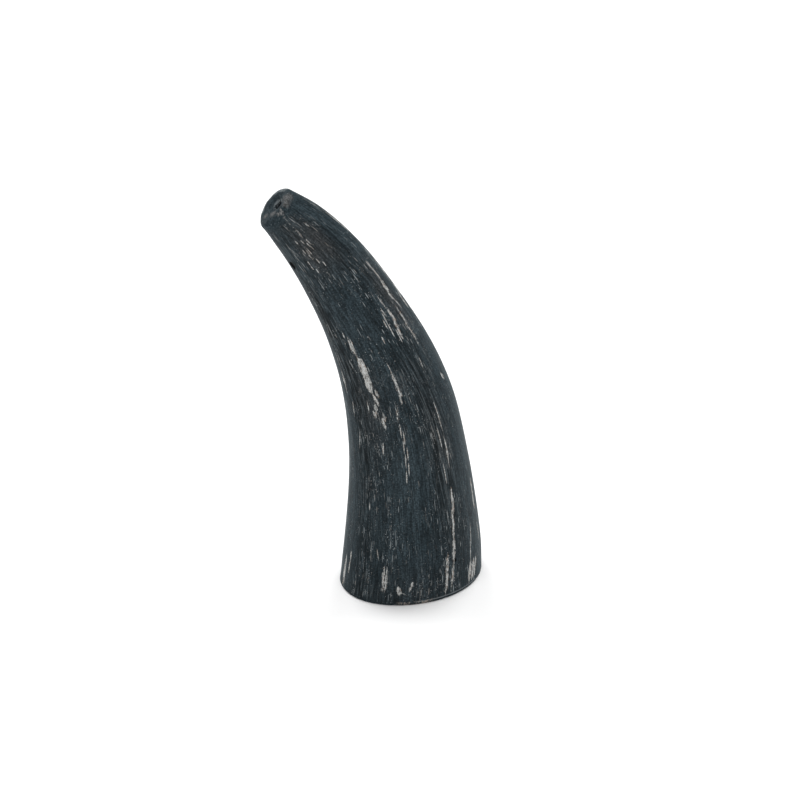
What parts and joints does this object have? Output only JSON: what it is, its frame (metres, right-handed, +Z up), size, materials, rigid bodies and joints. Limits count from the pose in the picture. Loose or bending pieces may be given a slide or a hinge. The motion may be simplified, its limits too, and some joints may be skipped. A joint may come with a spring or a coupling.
{
  "type": "shofar",
  "caption": "Small curved natural horn blown as a shofar: dark weathered outside worn through to pale horn, bored cut tip, hollow wide end cut flat so it stands.",
  "frame": {"origin": "on the surface that the rim stands on, under the middle of the horn's bounding box", "axes": "+Z up, the horn's longest extent; the horn curves in the XZ plane with its blown tip towards -X; Y is across the curve, the shortest extent"},
  "size_m": [0.1116, 0.0636, 0.213],
  "materials": {
    "dark_horn": "satin, finely scratched along the fibres and worn through to pale horn in narrow streaks",
    "pale_horn": "matte fibrous horn, darkened and polished at the cut tip",
    "brown_horn": "rough matte natural hollow with lengthwise ridges"
  },
  "bodies": {
    "root": {"outer_horn_layer": "dark_horn", "middle_horn_layer": "pale_horn", "inner_horn_layer": "brown_horn"}
  },
  "joints": []
}
